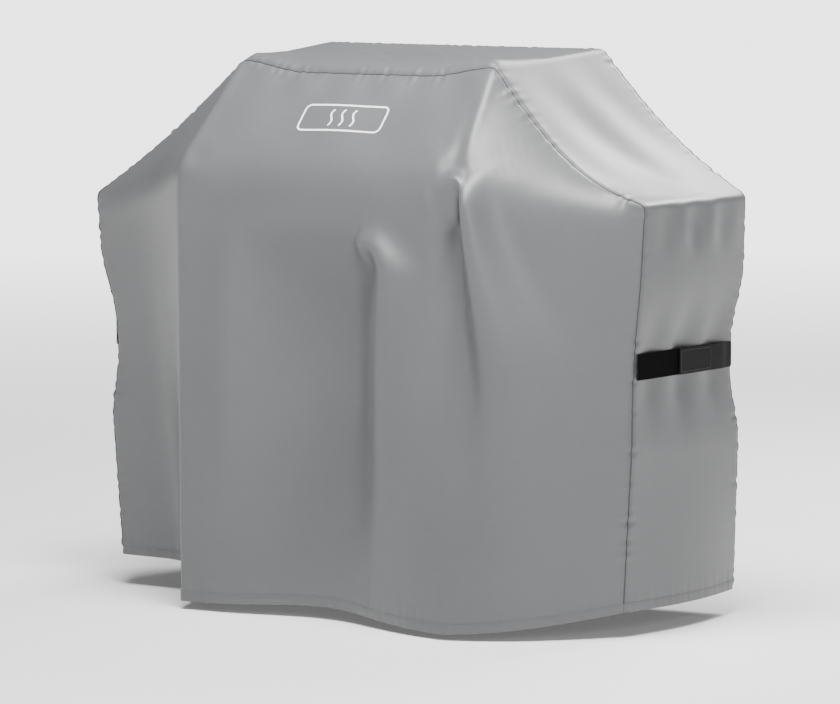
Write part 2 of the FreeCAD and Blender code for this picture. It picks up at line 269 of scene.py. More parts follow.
def lid_corner(side, back):
    if back:
        return (side * LID_HALF_BACK, LID_BACK_Y, TOP_Z - 0.005)
    return (side * LID_HALF_FRONT, LID_FRONT_Y, TOP_Z - LID_FALL)


def side_seam(side, back):
    """A side seam from the hem up to the shelf, pulled in by the strap."""
    hem = (side * HEM_HIGH.x, HEM_BACK_Y if back else FRONT_SEAM_Y, HEM_LIFT[side])
    line, _ = between(hem, shelf_corner(side, back))
    here = np.array([np.interp(STRAP_Z, line[:, 2], line[:, k]) for k in range(3)])
    pulled = np.array([side * CINCH_X, CINCH_REAR_Y if back else CINCH_FRONT_Y, STRAP_Z])
    reach = fade(STRAP_HALF, STRAP_REACH, np.abs(line[:, 2] - STRAP_Z))
    return line + reach[:, None] * (pulled - here)


def slope_seam(side, back):
    """A sloping seam from the shelf corner up to the lid's corner."""
    line, share = between(shelf_corner(side, back), lid_corner(side, back))
    sag = (BACK_SAG if back else FRONT_SAG)[side]
    line[:, 2] -= sag * np.sin(math.pi * share)
    return line


def lid_seam(back):
    line, share = between(lid_corner(LEFT, back), lid_corner(RIGHT, back))
    if not back:
        drop = ease(0.0, 0.25, share) * fade(0.75, 1.0, share)
        line[:, 2] -= LID_SEAM_SAG * drop
        line[:, 1] -= 0.3 * LID_SEAM_SAG * drop
    return line


def front_hem_line():
    """The front hem as seen from above: a tucked left wing, a hollow middle and a full right wing."""
    left, _ = between((-HEM_HIGH.x, FRONT_SEAM_Y, 0.0), (FOLD_X, FRONT_SEAM_Y, 0.0))
    flank = np.clip((left[:, 0] - (FOLD_X - TUCK)) / TUCK, 0.0, 1.0)
    left[:, 1] += (FOLD_Y - FRONT_SEAM_Y) * flank ** 2
    middle, _ = between((FOLD_X, FOLD_Y, 0.0), (LOBE_X, LOBE_Y, 0.0))
    middle[:, 1] += HOLLOW_DEPTH * hill(*HOLLOW, middle[:, 0])
    right, share = between((LOBE_X, LOBE_Y, 0.0), (HEM_HIGH.x, FRONT_SEAM_Y, 0.0))
    right[:, 1] -= WING_BELLY * np.sin(math.pi * share)
    for line, lift in ((left, HEM_LIFT[LEFT]), (middle, HEM_LIFT[RIGHT]), (right, HEM_LIFT[RIGHT])):
        out = (line[:, 1] - FRONT_SEAM_Y) / (FOLD_Y - FRONT_SEAM_Y)
        line[:, 2] = lift + (FOLD_Z - lift) * out
    return across(left, middle, right)


def back_hem_line():
    left, right = ((side * HEM_HIGH.x, HEM_BACK_Y, HEM_LIFT[side]) for side in (LEFT, RIGHT))
    line, share = between(left, right)
    line[:, 1] -= BACK_HEM_WAVE * np.sin(2.0 * math.pi * share) ** 2
    line[:, 2] -= BACK_HEM_SAG * np.sin(math.pi * share)
    wing = len(line) // 4
    return across(line[:wing + 1], line[wing:-wing], line[-wing - 1:])


def top_line(back):
    return across(slope_seam(LEFT, back), lid_seam(back), slope_seam(RIGHT, back)[::-1], 1)


def hang_side_seams(grid, back):
    """Puts the side seams in and lets their pull fade out over each wing."""
    for edge, inward, side in ((0, 1, LEFT), (COLUMNS, -1, RIGHT)):
        straight = up_the_column([grid[edge, 0], grid[edge, -1]], 0)
        grid[edge] = up_the_column(side_seam(side, back), 0)
        pull = grid[edge] - straight
        for step in range(1, WING_COLUMNS):
            grid[edge + inward * step] += pull * (1.0 - step / WING_COLUMNS) ** 3


def front_grid():
    """Vertex grid [column, row] of the front panel."""
    top, hem = top_line(False), front_hem_line()
    left_peak, right_peak = (-PANEL_X, PANEL_Y, PANEL_Z), (PANEL_X, PANEL_Y, PANEL_Z)
    left_brow, share = between(shelf_corner(LEFT, False), left_peak)
    left_brow[:, 1] += BROW_HOLLOW * np.sin(math.pi * share)
    middle_brow, share = between(left_peak, right_peak)
    middle_brow[:, 2] -= BROW_SAG * np.sin(math.pi * share) ** 0.5
    brow = across(left_brow, middle_brow, between(right_peak, shelf_corner(RIGHT, False))[0])
    columns = []
    for a in range(COLUMNS + 1):
        from_peak = abs(abs(brow[a][0]) - PANEL_X)
        rounding = round(BROW_PASSES + BROW_EXTRA * ease(0.02, 0.16, from_peak))
        at_seam = a in (0, COLUMNS)
        line = [hem[a], top[a]] if at_seam else [hem[a], brow[a], top[a]]
        columns.append(up_the_column(line, 0 if at_seam else rounding))
    grid = np.array(columns)
    hang_side_seams(grid, False)
    inner = grid[1:-1, :-1]
    inner[..., 1] += skirt_folds(inner[..., 0], inner[..., 2]) + slope_folds(inner[..., 0], inner[..., 2])
    return grid


def back_grid():
    top, hem = top_line(True), back_hem_line()
    grid = np.array([up_the_column([hem[a], top[a]], 0) for a in range(COLUMNS + 1)])
    hang_side_seams(grid, True)
    inner = grid[1:-1, :-1]
    inner[..., 1] += BACK_WAVE * np.sin(11.0 * inner[..., 0] + 0.6) * fade(0.0, 0.7, inner[..., 2])
    return grid


def seam_chain(grid):
    """The sewn edge of a panel: up the left side, along the top and down the right side."""
    return np.concatenate((grid[0, :-1], grid[:, -1], grid[-1, :-1][::-1]))


def strip_grid(front_chain, back_chain):
    """The side-and-top strip between the two seams, with its bulges, gathers and pinches."""
    share = np.linspace(0.0, 1.0, PLIES + 1)[None, :, None]
    strip = front_chain[:, None, :] * (1.0 - share) + back_chain[:, None, :] * share
    z = strip[..., 2]
    v = np.broadcast_to(share[..., 0], z.shape)
    arch = np.sin(math.pi * v)
    side = np.sign(strip[..., 0]) * (np.abs(strip[..., 0]) > SIDE_X)
    at_strap = hill(STRAP_Z, GATHER_WIDTH, z)
    bulge = SKIRT_BULGE * arch * fade(*SKIRT_BULGE_TOP, z)
    bulge += UPPER_BULGE * arch * hill(*UPPER_PLACE, z)
    gathers = at_strap * (0.5 - 0.5 * np.cos(2.0 * math.pi * STRAP_GATHERS * v)) * arch ** 0.5
    strip[..., 0] += side * np.where(z < SHELF_TURN_Z, bulge * (1.0 - at_strap) - GATHER_PULL * gathers, 0.0)
    down = (np.abs(strip[..., 0]) - SLOPE_X) / SLOPE_X
    slope_arch = np.sin(math.pi * np.clip(down, 0.0, 1.0))
    on_slope = np.where((z > SHELF_TURN_Z) & (down > 0.0), slope_arch, 0.0)
    tension = np.sin(2.0 * math.pi * (TENSION_WAVES * v - TENSION_SLANT * down) + TENSION_PHASE) * arch
    strip[..., 2] += TENSION_WAVE * on_slope * tension
    pinch = hill(*PINCH, z) * np.sin(2.0 * math.pi * PINCHES * v + PINCH_PHASE) * arch
    strip[..., 0] += side * PINCH_OUT * pinch
    on_top = np.abs(strip[:, 1:-1, 0]) < TOP_X
    strip[:, 1:-1, 2] += np.where(on_top, TOP_RISE, 0.0) * (1.0 - share[:, 1:-1, 0]) ** 3
    return strip


def grid_cells(rows, columns):
    """The four corners of every cell of a grid, as places in the grid."""
    for i in range(rows):
        for j in range(columns):
            yield [(i, j), (i + 1, j), (i + 1, j + 1), (i, j + 1)]


def sewn_cover():
    """The three panels welded at their seams: points, faces, part of each face, cut, strip ids."""
    front = front_grid()
    back = back_grid()
    front_chain = seam_chain(front)
    back_chain = seam_chain(back)
    chain_length = len(front_chain)
    strip = strip_grid(front_chain, back_chain)
    points = [strip.reshape(-1, 3)]
    strip_ids = np.arange(chain_length * (PLIES + 1)).reshape(chain_length, PLIES + 1)
    faces, parts, cut = [], [], []
    used = strip_ids.size
    for face, hem, grid, ply in ((FRONT, FRONT_HEM, front, 0), (BACK, BACK_HEM, back, PLIES)):
        ids = np.zeros((COLUMNS + 1, ROWS + 1), int)
        ids[0, :-1] = strip_ids[:ROWS, ply]
        ids[:, -1] = strip_ids[ROWS:ROWS + COLUMNS + 1, ply]
        ids[-1, :-1] = strip_ids[ROWS + COLUMNS + 1:, ply][::-1]
        inner = ids[1:-1, :-1]
        inner[...] = used + np.arange(inner.size).reshape(inner.shape)
        used += inner.size
        points.append(grid[1:-1, :-1].reshape(-1, 3))
        for corners in grid_cells(COLUMNS, ROWS):
            parts.append(hem if corners[0][1] == 0 else face)
            if face == BACK:
                corners = corners[::-1]
            faces.append([ids[c] for c in corners])
            cut.append([(c[0] * CELL, c[1] * CELL) for c in corners])
    strip_hems = {0: LEFT_HEM, chain_length - 2: RIGHT_HEM}
    for corners in grid_cells(chain_length - 1, PLIES):
        parts.append(strip_hems.get(corners[0][0], STRIP))
        faces.append([strip_ids[c] for c in corners])
        cut.append([(c[1] * CELL, c[0] * CELL) for c in corners])
    return np.concatenate(points), np.array(faces), np.array(parts), np.array(cut), strip_ids


# ---- the grill's shapes under the cloth

SETTLE_FRAMES = 30
LOOSE, SKIRT_HOLD, FIRM = 0.32, 0.62, 0.85  # how firmly points keep the place they were laid in
FOLD_HOLD = ((-0.318, 0.045), (LOBE_X, 0.06))  # x and width of the two main folds
SHELF_HOLD_X, SHELF_HOLD_Z = 0.655, 0.775
HOLD_RANGE = 0.045  # height of the held hem, and reach around a shelf corner
STRAP_HOLD = 0.027
CLOTH_SETTINGS = {
    "quality": 8, "mass": 0.25, "tension_stiffness": 60.0, "compression_stiffness": 60.0,
    "shear_stiffness": 30.0, "bending_stiffness": 9.0, "tension_damping": 15.0,
    "compression_damping": 15.0, "shear_damping": 15.0, "bending_damping": 1.0, "air_damping": 2.0,
    "shrink_min": -0.003, "vertex_group_mass": "held", "pin_stiffness": 40.0,
}
COLLISION_SETTINGS = {"distance_min": 0.002, "collision_quality": 3, "use_self_collision": False}
LID_FOOT_Z = 0.86
LID_BLOCK = [
    (-0.330, -0.080, LID_FOOT_Z), (0.330, -0.080, LID_FOOT_Z),
    (0.335, 0.232, LID_FOOT_Z), (-0.335, 0.232, LID_FOOT_Z),
    (-0.302, -0.072, 1.040), (0.298, -0.072, 1.040), (0.326, 0.234, 1.064), (-0.326, 0.234, 1.062),
]
SHELF_INNER_X = 0.30
SHELF_Y = (-0.088, 0.255)
KNOB_BLOCK = (0.104, 0.140, -0.270, -0.22, 0.690, 0.716)
PLATE_HALF = 0.022  # half the height of the plate behind a strap


def read(collection, attribute, width, kind=float):
    """One attribute of all the items of a Blender collection, in rows of the given width."""
    values = np.zeros(len(collection) * width, kind)
    collection.foreach_get(attribute, values)
    return values.reshape(-1, width)


def link(name, data):
    obj = bpy.data.objects.new(name, data)
    bpy.context.scene.collection.objects.link(obj)
    return obj


def evaluated(obj):
    return obj.evaluated_get(bpy.context.evaluated_depsgraph_get())


def link_mesh(name, verts, faces):
    mesh = bpy.data.meshes.new(name)
    mesh.from_pydata([tuple(v) for v in verts], [], [tuple(int(i) for i in f) for f in faces])
    mesh.update()
    return link(name, mesh)


BLOCK_FACES = [(0, 1, 2, 3), (7, 6, 5, 4), (0, 4, 5, 1), (1, 5, 6, 2), (2, 6, 7, 3), (3, 7, 4, 0)]


def collider(name, corners, rounding, segments=4):
    """A rounded six-sided block the cloth rests on."""
    obj = link_mesh(name, corners, BLOCK_FACES)
    shape = bmesh.new()
    shape.from_mesh(obj.data)
    bmesh.ops.recalc_face_normals(shape, faces=shape.faces)
    bmesh.ops.bevel(shape, geom=list(shape.edges), offset=rounding, segments=segments, profile=0.5,
                    affect="EDGES")
    bmesh.ops.triangulate(shape, faces=shape.faces)
    shape.to_mesh(obj.data)
    shape.free()
    obj.modifiers.new("collision", "COLLISION")
    obj.collision.thickness_outer = 0.002
    obj.collision.cloth_friction = 8.0
    obj.collision.damping = 0.5
    return obj


def block(x0, x1, y0, y1, z0, z1):
    return [(x0, y0, z0), (x1, y0, z0), (x1, y1, z0), (x0, y1, z0),
            (x0, y0, z1), (x1, y0, z1), (x1, y1, z1), (x0, y1, z1)]


def grill_shapes():
    panel = block(-0.31, 0.31, PANEL_Y + 0.014, -0.05, 0.745, PANEL_Z - 0.020)
    shapes = [
        collider("lid", LID_BLOCK, 0.026, segments=6),
        collider("right_shelf", block(SHELF_INNER_X, 0.641, *SHELF_Y, 0.74, 0.785), 0.014),
        collider("left_shelf", block(-0.666, -SHELF_INNER_X, *SHELF_Y, 0.72, 0.760), 0.014),
        collider("control_panel", panel, 0.030, segments=6),
        collider("knob", block(*KNOB_BLOCK), 0.010),
    ]
    for side in (LEFT, RIGHT):
        near, far = sorted((side * (PANEL_X - 0.030), side * (PANEL_X - 0.005)))
        post = block(near, far, PANEL_Y + 0.006, PANEL_Y + 0.06, 0.755, PANEL_Z - 0.006)
        shapes.append(collider("panel_corner", post, 0.008))
        near, far = sorted((side * (CINCH_X + 0.004), side * (CINCH_X + 0.035)))
        plate = block(near, far, CINCH_FRONT_Y - 0.02, CINCH_REAR_Y + 0.02,
                      STRAP_Z - PLATE_HALF, STRAP_Z + PLATE_HALF)
        shapes.append(collider("strap_plate", plate, 0.004))
    return shapes


def hold_weights(points, parts_of_point):
    """Folds, hems and shelf corners keep their place firmly, slopes and sides loosely."""
    x, _, z = points.T
    front = parts_of_point == FRONT
    weights = np.where(front & (z < PANEL_Z - 0.01), SKIRT_HOLD, LOOSE)
    folds = np.maximum(*(hill(*fold, x) for fold in FOLD_HOLD)) * front
    weights = np.maximum(weights, FIRM * np.where(z < PANEL_Z + 0.005, folds, 0.0))
    weights = np.maximum(weights, FIRM * (z < HOLD_RANGE))
    corner = np.abs(np.abs(x) - SHELF_HOLD_X) + np.abs(z - SHELF_HOLD_Z)
    return np.maximum(weights, FIRM * (corner < HOLD_RANGE))


def drape(points, faces, parts, strip_ids):
    """Lets the sewn cover settle under its weight and returns the draped points."""
    cover = link_mesh("draping_cover", points, faces)
    parts_of_point = np.full(len(points), STRIP)
    for part in (FRONT, FRONT_HEM):
        parts_of_point[np.unique(faces[parts == part])] = FRONT
    weights = hold_weights(points, parts_of_point)
    for row in np.concatenate((strip_ids[:ROWS], strip_ids[-ROWS:])):
        if abs(points[row[0]][2] - STRAP_Z) < STRAP_HOLD:
            weights[row[0]] = weights[row[-1]] = 1.0
    group = cover.vertex_groups.new(name="held")
    for index, weight in enumerate(weights):
        group.add([index], float(weight), "REPLACE")
    shapes = grill_shapes()
    cloth = cover.modifiers.new("cloth", "CLOTH")
    for setting, value in CLOTH_SETTINGS.items():
        setattr(cloth.settings, setting, value)
    for setting, value in COLLISION_SETTINGS.items():
        setattr(cloth.collision_settings, setting, value)
    scene = bpy.context.scene
    cloth.point_cache.frame_start = scene.frame_start = 1
    cloth.point_cache.frame_end = scene.frame_end = SETTLE_FRAMES
    for number in range(1, SETTLE_FRAMES + 1):
        scene.frame_set(number)
    draped = read(evaluated(cover).data.vertices, "co", 3)
    for obj in shapes + [cover]:
        bpy.data.objects.remove(obj)
    scene.frame_set(1)
    return draped


# ---- fine mesh, seams and thickness

SEAM_CREASE = 0.55
PANEL_GROUP = {FRONT: 0, FRONT_HEM: 0, BACK: 1, BACK_HEM: 1, STRIP: 2, LEFT_HEM: 2, RIGHT_HEM: 2}
HEM_PARTS = (FRONT_HEM, BACK_HEM, LEFT_HEM, RIGHT_HEM)
CLOTH_THICK = 0.0008
HEM_RAISE = 0.0009  # the turned edge stands this far out of the panel


def quad_sides(quads):
    return np.concatenate([np.stack([quads[:, k], quads[:, (k + 1) % 4]], 1) for k in range(4)])


class FineMesh:
    """The subdivided cover as arrays: points, quads, part of each quad and weave coordinates."""

    def __init__(self, draped, faces, parts, cut, strip_ids):
        obj = link_mesh("fine_cover", draped, faces)
        mesh = obj.data
        mesh.polygons.foreach_set("material_index", parts)
        for part in PART_NAMES.values():
            mesh.materials.append(bpy.data.materials.new("sort_" + part))
        mesh.uv_layers.new(name="cut").data.foreach_set("uv", cut.ravel())
        seam = set()
        for row in (strip_ids[:, 0], strip_ids[:, -1]):
            seam.update(frozenset((int(a), int(b))) for a, b in zip(row[:-1], row[1:]))
        crease = mesh.attributes.new("crease_edge", "FLOAT", "EDGE")
        crease.data.foreach_set("value", [SEAM_CREASE * (frozenset(e.vertices) in seam) for e in mesh.edges])
        finer = obj.modifiers.new("finer", "SUBSURF")
        finer.levels = 2
        fine = evaluated(obj).to_mesh()
        self.points = read(fine.vertices, "co", 3)
        self.faces = read(fine.loops, "vertex_index", 1, int).reshape(-1, 4)
        self.parts = read(fine.polygons, "material_index", 1, int).ravel()
        self.cut = read(fine.uv_layers[0].data, "uv", 2).reshape(-1, 4, 2)
        bpy.data.objects.remove(obj)
        for material in [m for m in bpy.data.materials if m.name.startswith("sort_")]:
            bpy.data.materials.remove(material)

    def normals(self):
        """Area-weighted normals at the points."""
        corner = self.points[self.faces]
        face_normal = np.cross(corner[:, 2] - corner[:, 0], corner[:, 3] - corner[:, 1])
        total = np.zeros_like(self.points)
        for k in range(4):
            np.add.at(total, self.faces[:, k], face_normal)
        return unit(total)

    def border(self, label, a, b):
        """Ordered vertices along the line between two labels of faces (None is outside the mesh)."""
        sides = quad_sides(self.faces)
        owner = np.tile(np.array([label[p] for p in self.parts]), 4)
        sides.sort(axis=1)
        edges, index = np.unique(sides, axis=0, return_inverse=True)
        low = np.full(len(edges), 99)
        high = np.full(len(edges), -1)
        count = np.bincount(index.ravel(), minlength=len(edges))
        np.minimum.at(low, index.ravel(), owner)
        np.maximum.at(high, index.ravel(), owner)
        chosen = (count == 1) & (low == a) if b is None else (low == min(a, b)) & (high == max(a, b))
        return walk(edges[chosen])


def walk(edges):
    """Orders loose edges into one line of vertices, starting from an end if there is one."""
    nearby = {}
    for a, b in edges:
        nearby.setdefault(int(a), []).append(int(b))
        nearby.setdefault(int(b), []).append(int(a))
    ends = sorted(v for v, joined in nearby.items() if len(joined) == 1)
    line = [ends[0] if ends else min(nearby)]
    seen = {line[0]}
    while True:
        onward = [v for v in nearby[line[-1]] if v not in seen]
        if not onward:
            return line
        line.append(min(onward))
        seen.add(line[-1])


def waves(place, lengths, phases):
    """A sum of sines that looks irregular, between about -1 and 1."""
    total = np.zeros_like(place)
    for length, phase in zip(lengths, phases):
        total += np.sin(2.0 * math.pi * place / length + phase)
    return total / len(lengths)


def search_tree(points):
    tree = KDTree(len(points))
    for i, p in enumerate(points):
        tree.insert(p, i)
    tree.balance()
    return tree


def nearest_along(line_points, points):
    """Distance from each point to a line, and how far along the line its nearest place is."""
    reached = lengths_along(line_points)
    tree = search_tree(line_points)
    found = [tree.find(p) for p in points]
    return np.array([f[2] for f in found]), reached[[f[1] for f in found]]


GROOVE_DEPTH, GROOVE_WIDTH = 0.0028, 0.0045
PUCKER_HEIGHT, PUCKER_REACH = 0.0025, 0.017
ROPING_HEIGHT, ROPING_REACH = 0.0009, 0.022


def work_seams(fine, seams, hem_line):
    """Sinks each seam into a groove and puckers the cloth beside it and along the hem."""
    normals = fine.normals()
    shift = np.zeros(len(fine.points))
    for number, seam in enumerate(seams):
        distance, along = nearest_along(fine.points[seam], fine.points)
        patch = 0.55 + 0.45 * waves(along, (0.31, 0.17), (0.6 + number, 2.1))
        pucker = waves(along, (0.019, 0.027, 0.043), (0.3, 1.7 + number, 4.0)) * patch
        shift += PUCKER_HEIGHT * pucker * np.exp(-(distance / PUCKER_REACH) ** 1.5)
        shift -= GROOVE_DEPTH * np.exp(-(distance / GROOVE_WIDTH) ** 2)
    distance, along = nearest_along(fine.points[hem_line], fine.points)
    roping = waves(along, (0.021, 0.034, 0.12), (0.2, 2.9, 1.1))
    shift += ROPING_HEIGHT * roping * np.exp(-(distance / ROPING_REACH) ** 2)
    fine.points = fine.points + normals * shift[:, None]


def sheet_object(name, points, faces, normals, outward, inward, cut=None):
    """A closed sheet between two offsets of a surface, with crisp edges."""
    used, local = np.unique(faces, return_inverse=True)
    local = local.reshape(faces.shape)
    outer = points[used] + normals[used] * outward
    inner = points[used] - normals[used] * inward
    count = len(used)
    sides = quad_sides(local)
    keys = np.sort(sides, axis=1)
    _, first, uses = np.unique(keys, axis=0, return_index=True, return_counts=True)
    rim = sides[first[uses == 1]]
    walls = np.stack([rim[:, 1], rim[:, 0], rim[:, 0] + count, rim[:, 1] + count], axis=1)
    quads = np.concatenate([local, local[:, ::-1] + count, walls])
    obj = link_mesh(name, np.concatenate([outer, inner]), quads)
    mesh = obj.data
    mesh.polygons.foreach_set("use_smooth", np.ones(len(quads), bool))
    rim_keys = {tuple(sorted(pair)) for pair in rim.tolist()}
    rim_keys |= {(a + count, b + count) for a, b in rim_keys}
    sharp = mesh.attributes.new("sharp_edge", "BOOLEAN", "EDGE")
    sharp.data.foreach_set("value", [tuple(sorted(e.vertices)) in rim_keys for e in mesh.edges])
    if cut is not None:
        wall_cut = np.zeros((len(walls), 4, 2))
        layer = mesh.uv_layers.new(name="cut")
        layer.data.foreach_set("uv", np.concatenate([cut, cut[:, ::-1], wall_cut]).ravel())
    return obj


def grid_faces(rows, columns, closed=False):
    """Quads of a grid of points stored row after row."""
    cells = grid_cells(rows if closed else rows - 1, columns - 1)
    return np.array([[(i % rows) * columns + j for i, j in corners] for corners in cells])


# ---- thread

STITCH, STITCH_GAP = 0.0038, 0.0016
THREAD_R, SEAM_THREAD_R, TACK_THREAD_R = 0.00045, 0.0014, 0.0005
THREAD_END = 0.35  # a thread narrows to this share of its radius at its ends
SKEW = np.array([0.31, -0.52, 0.79])  # a direction that no thread follows


def tube_mesh(paths, radius, sides=6):
    """Round threads along several paths, each closed by a small cap, as points and quads."""
    points, quads = [], []
    for path in paths:
        path = np.asarray(path, float)
        tangent = unit(np.gradient(path, axis=0))
        first = unit(np.cross(tangent, SKEW))
        second = np.cross(tangent, first)
        swell = np.ones(len(path))
        swell[[0, -1]] = THREAD_END
        start = sum(len(p) for p in points)
        turn = np.linspace(0.0, 2.0 * math.pi, sides, endpoint=False)
        ring = (first[:, None] * np.cos(turn)[None, :, None] + second[:, None] * np.sin(turn)[None, :, None])
        points.append((path[:, None] + ring * (radius * swell)[:, None, None]).reshape(-1, 3))
        for i in range(len(path) - 1):
            for k in range(sides):
                a, b = start + i * sides + k, start + i * sides + (k + 1) % sides
                quads.append((a, b, b + sides, a + sides))
        last = start + (len(path) - 1) * sides
        quads.append(tuple(start + k for k in range(sides))[::-1])
        quads.append(tuple(last + k for k in range(sides)))
    return np.concatenate(points), quads


def thread_object(name, paths, radius, sides=6):
    points, quads = tube_mesh(paths, radius, sides)
    obj = link_mesh(name, points, quads)
    obj.data.polygons.foreach_set("use_smooth", np.ones(len(quads), bool))
    return obj


def stitches_along(line, lift):
    """Short stitches that follow a line of points, each lifted out of the cloth in its middle."""
    line = np.asarray(line, float)
    reached = lengths_along(line)
    height = THREAD_R * np.array([-0.6, 0.7, 0.7, -0.6])
    paths = []
    place = STITCH_GAP
    while place + STITCH < reached[-1]:
        at = place + STITCH * np.array([0.0, 0.25, 0.75, 1.0])
        paths.append(at_lengths(at, reached, line) + at_lengths(at, reached, lift) * height[:, None])
        place += STITCH + STITCH_GAP
    return paths


# ---- the cover's pieces

def stand_for(obj, node, body="cover"):
    """The object takes a node's place and moves with its body."""
    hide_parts(node)
    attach(obj, body)
    return obj


def build_cover():
    """Drapes the cover and makes its panels, hems and thread."""
    points, faces, parts, cut, strip_ids = sewn_cover()
    draped = drape(points, faces, parts, strip_ids)
    fine = FineMesh(draped, faces, parts, cut, strip_ids)
    seams = [fine.border(PANEL_GROUP, 0, 2), fine.border(PANEL_GROUP, 1, 2)]
    is_hem = {part: int(part in HEM_PARTS) for part in PANEL_GROUP}
    hem_line = fine.border(is_hem, 0, 1)
    edge_line = fine.border({part: 0 for part in PANEL_GROUP}, 0, None)
    work_seams(fine, seams, hem_line)
    normals = fine.normals()
    pieces = {}
    for part, name in PART_NAMES.items():
        chosen = fine.parts == part
        raised, under = (HEM_RAISE, 2 * CLOTH_THICK) if part in HEM_PARTS else (0.0, CLOTH_THICK)
        obj = sheet_object(name + "_cloth", fine.points, fine.faces[chosen], normals, raised, under,
                           fine.cut[chosen])
        pieces[name] = stand_for(obj, name)
    # Each seam gets one thick near-black thread line, which is partly thread and partly painted shade of the
    # seam's crease.
    for seam, name in zip(seams, ("front_seam_stitching", "back_seam_stitching")):
        seam = [v for v in seam if fine.points[v][2] > 0.0]
        line = fine.points[seam] + normals[seam] * THREAD_R * 0.5
        pieces[name] = stand_for(thread_object(name + "_thread", [line], SEAM_THREAD_R, 5), name)
    pieces["hem_stitching"] = hem_stitching(fine, normals, hem_line, edge_line)
    return pieces


def hem_stitching(fine, normals, hem_line, edge_line):
    """A row of stitches just below the top of the turned hem, all the way round."""
    edge = search_tree(fine.points[edge_line])
    line, lift = [], []
    for v in hem_line + hem_line[:1]:
        here = fine.points[v]
        down = np.array(edge.find(here)[0]) - here
        down /= np.linalg.norm(down)
        line.append(here + down * HEM_HEIGHT * 0.2 + normals[v] * HEM_RAISE)
        lift.append(normals[v])
    obj = thread_object("hem_stitching_thread", stitches_along(line, np.array(lift)), THREAD_R)
    return stand_for(obj, "hem_stitching")


# ---- printed emblem

PRINT_RISE, PRINT_LINE, PRINT_CORNER = 0.0003, 0.0040, 0.012
HEAT_SPACING, HEAT_SWAY, HEAT_HALF = 0.026, 0.004, 0.020


def printed_emblem(front_panel):
    """A plain frame with heat lines, laid on the draped front slope."""
    half_w = (MARK_HIGH.x - MARK_LOW.x) / 2 - PRINT_LINE / 2
    slope = math.hypot(MARK_HIGH.y - MARK_LOW.y, MARK_HIGH.z - MARK_LOW.z)
    half_h = slope / 2 - PRINT_LINE / 2
    middle = (MARK_LOW + MARK_HIGH) / 2
    up = Vector((0.0, MARK_HIGH.y - MARK_LOW.y, MARK_HIGH.z - MARK_LOW.z)).normalized()
    out = Vector((1.0, 0.0, 0.0)).cross(up)
    surface = BVHTree.FromObject(front_panel, bpy.context.evaluated_depsgraph_get())
    outline = []
    for turn, sx, sy in ((0, 1, 1), (1, -1, 1), (2, -1, -1), (3, 1, -1)):
        for step in range(7):
            angle = math.pi / 2 * (turn + step / 6)
            outline.append((sx * (half_w - PRINT_CORNER) + PRINT_CORNER * math.cos(angle),
                            sy * (half_h - PRINT_CORNER) + PRINT_CORNER * math.sin(angle)))
    frame_line = resample(outline + outline[:1], 160)[:-1]
    lines = [(frame_line, True)]
    for place in (-1, 0, 1):
        share = np.linspace(-1.0, 1.0, 25)
        sway = HEAT_SWAY * np.sin(math.pi * (share + 1.0))
        lines.append((np.stack([place * HEAT_SPACING + sway, share * HEAT_HALF], axis=1), False))
    points, quads, normals = [], [], []
    for line, closed in lines:
        if closed:
            along = np.roll(line, -1, axis=0) - np.roll(line, 1, axis=0)
        else:
            along = np.gradient(line, axis=0)
        side = unit(np.stack([-along[:, 1], along[:, 0]], axis=1))
        start = len(points)
        for p, s in zip(line, side):
            for offset in (-0.5, 0.0, 0.5):
                flat = p + s * offset * PRINT_LINE
                origin = middle + Vector((flat[0], 0.0, 0.0)) + up * flat[1] + out * 0.2
                hit, normal, _, _ = surface.ray_cast(origin, -out)
                points.append(hit)
                normals.append(normal)
        quads.append(grid_faces(len(line), 3, closed) + start)
    obj = sheet_object("emblem_print", np.array(points), np.concatenate(quads), np.array(normals),
                       PRINT_RISE, 0.0)
    return stand_for(obj, "printed_emblem")


# ---- side straps

STRAP_ROWS = 9
STRAP_BOW = 0.0006  # the middle of a strap stands out this far
WEB_THICK = 0.0018
WEB_STEP, WEB_FLAT = 0.004, 0.010  # it comes down behind the tape and lies flat before its root
PATCH_MARGIN, PATCH_THREAD_LIFT = 0.003, 0.0006
TACK_INSET, TACK_FOOT, TACK_TOP, TACK_TURNS = 0.0006, 0.001, 0.002, 26
TACK_ROWS = (0.0, 0.0007)


def ribbon(name, side, path, low, high, thickness):
    """A strap on edge: path is (x, y) of its inner face from front to rear, x outward."""
    path = np.array(path)
    along = np.gradient(path, axis=0)
    out = unit(np.stack([along[:, 1], -along[:, 0]], axis=1))
    points, normals = [], []
    for i, (x, y) in enumerate(path):
        for j in range(STRAP_ROWS):
            share = j / (STRAP_ROWS - 1)
            bow = STRAP_BOW * (1.0 - (2.0 * share - 1.0) ** 2)
            points.append((side * (x + bow), y, low.z + (high.z - low.z) * share))
            normals.append((side * out[i][0], out[i][1], 0.0))
    quads = grid_faces(len(path), STRAP_ROWS)
    if side == LEFT:
        quads = quads[:, ::-1]
    obj = sheet_object(name, np.array(points), quads, np.array(normals), thickness, 0.0)
    crown = obj.modifiers.new("soft_edge", "BEVEL")
    crown.width = thickness * 0.3
    crown.segments = 2
    crown.limit_method = "ANGLE"
    return obj


def flat_ribbon(name, side, low, high, steps):
    path = [(low.x, y) for y in np.linspace(low.y, high.y, steps)]
    return ribbon(name, side, path, low, high, high.x - low.x)


def apply_modifiers(obj):
    mesh = bpy.data.meshes.new_from_object(evaluated(obj))
    obj.modifiers.clear()
    old = obj.data
    obj.data = mesh
    bpy.data.meshes.remove(old)


